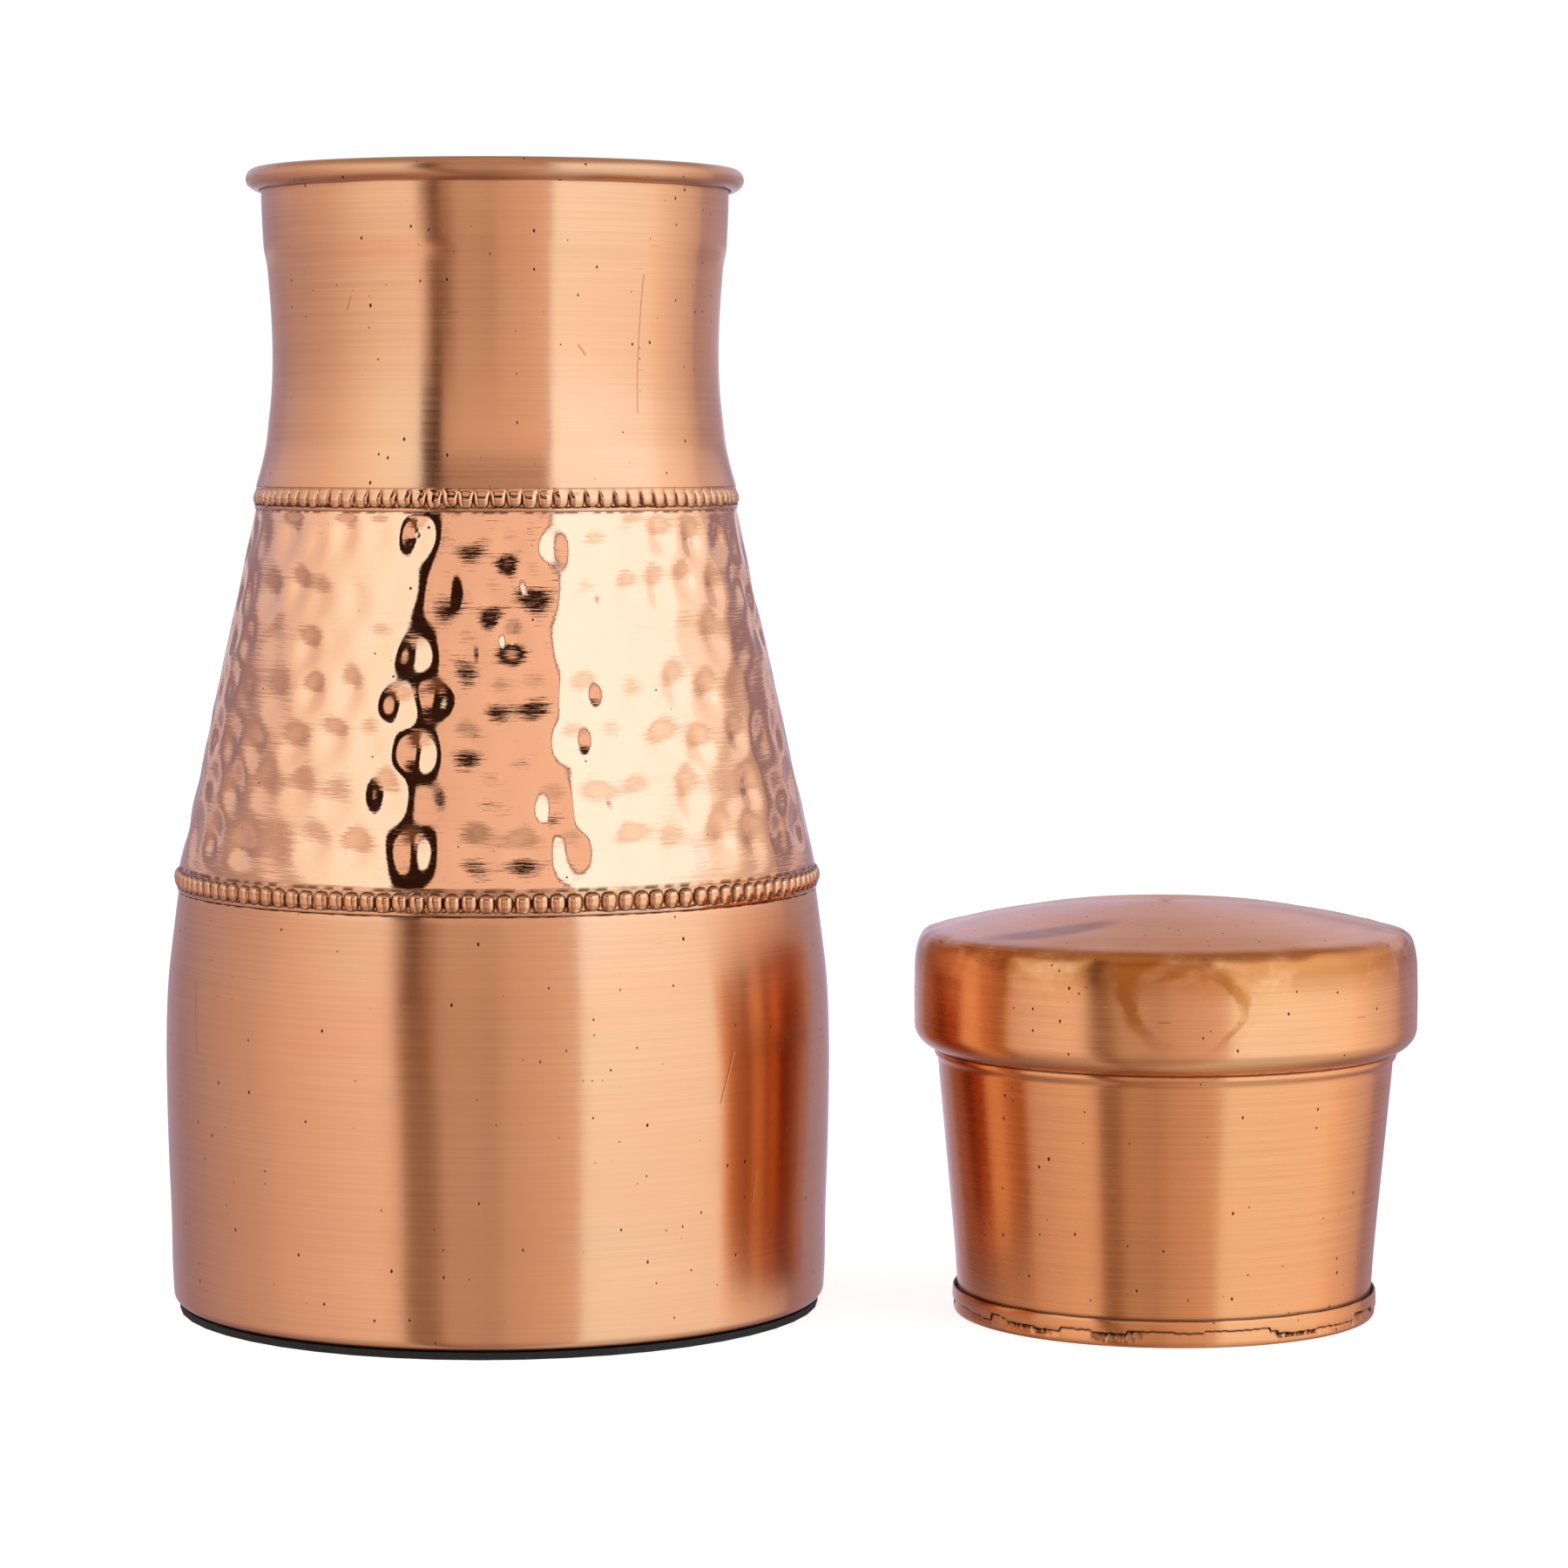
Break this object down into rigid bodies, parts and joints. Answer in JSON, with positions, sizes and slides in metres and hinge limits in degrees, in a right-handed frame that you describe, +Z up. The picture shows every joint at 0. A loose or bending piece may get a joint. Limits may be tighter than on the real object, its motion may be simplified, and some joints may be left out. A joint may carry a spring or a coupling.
{
  "type": "water jug",
  "caption": "Hammered copper water jug with beaded bands and a rolled rim; its domed lid doubles as a drinking cup, stands mouth down beside it and lifts straight up.",
  "frame": {"origin": "centre of the jug's foot, on the surface that the jug and the lid both stand on", "axes": "+Z up along the jug's axis; +X towards the lid-cup that stands beside the jug; -Y faces the viewer"},
  "size_m": [0.2345, 0.125, 0.2132],
  "materials": {
    "satin_copper": "satin copper, brushed round the axis",
    "hammered_copper": "mirror-polished copper with hammer marks",
    "bead_copper": "polished copper, dark in the gaps between beads",
    "lid_copper": "satin copper with scratches and heat-tinted patches",
    "plain_copper": "dull mill-finish copper",
    "solder": "dull grey-tan solder",
    "wire_steel": "plain steel wire",
    "foot_rubber": "matt black"
  },
  "bodies": {
    "jug": {"base_pad": "foot_rubber", "base_plate": "plain_copper", "base_solder": "solder", "base_shell": "satin_copper", "lower_bead_band": "bead_copper", "lower_seam_solder": "solder", "hammered_shell": "hammered_copper", "upper_bead_band": "bead_copper", "upper_seam_solder": "solder", "neck_shell": "satin_copper", "rim_wire": "wire_steel"},
    "lid_cup": {"lid_dome": "lid_copper", "lid_skirt": "lid_copper", "skirt_solder": "solder", "cup_wall": "lid_copper", "cup_floor": "plain_copper", "floor_solder": "solder", "cup_mouth_band": "lid_copper"}
  },
  "joints": [
    {"name": "lid_cup_lift", "type": "slide", "parent": "jug", "child": "lid_cup", "axis": [0, 0, 1], "range_m": [0, 0.22]}
  ]
}
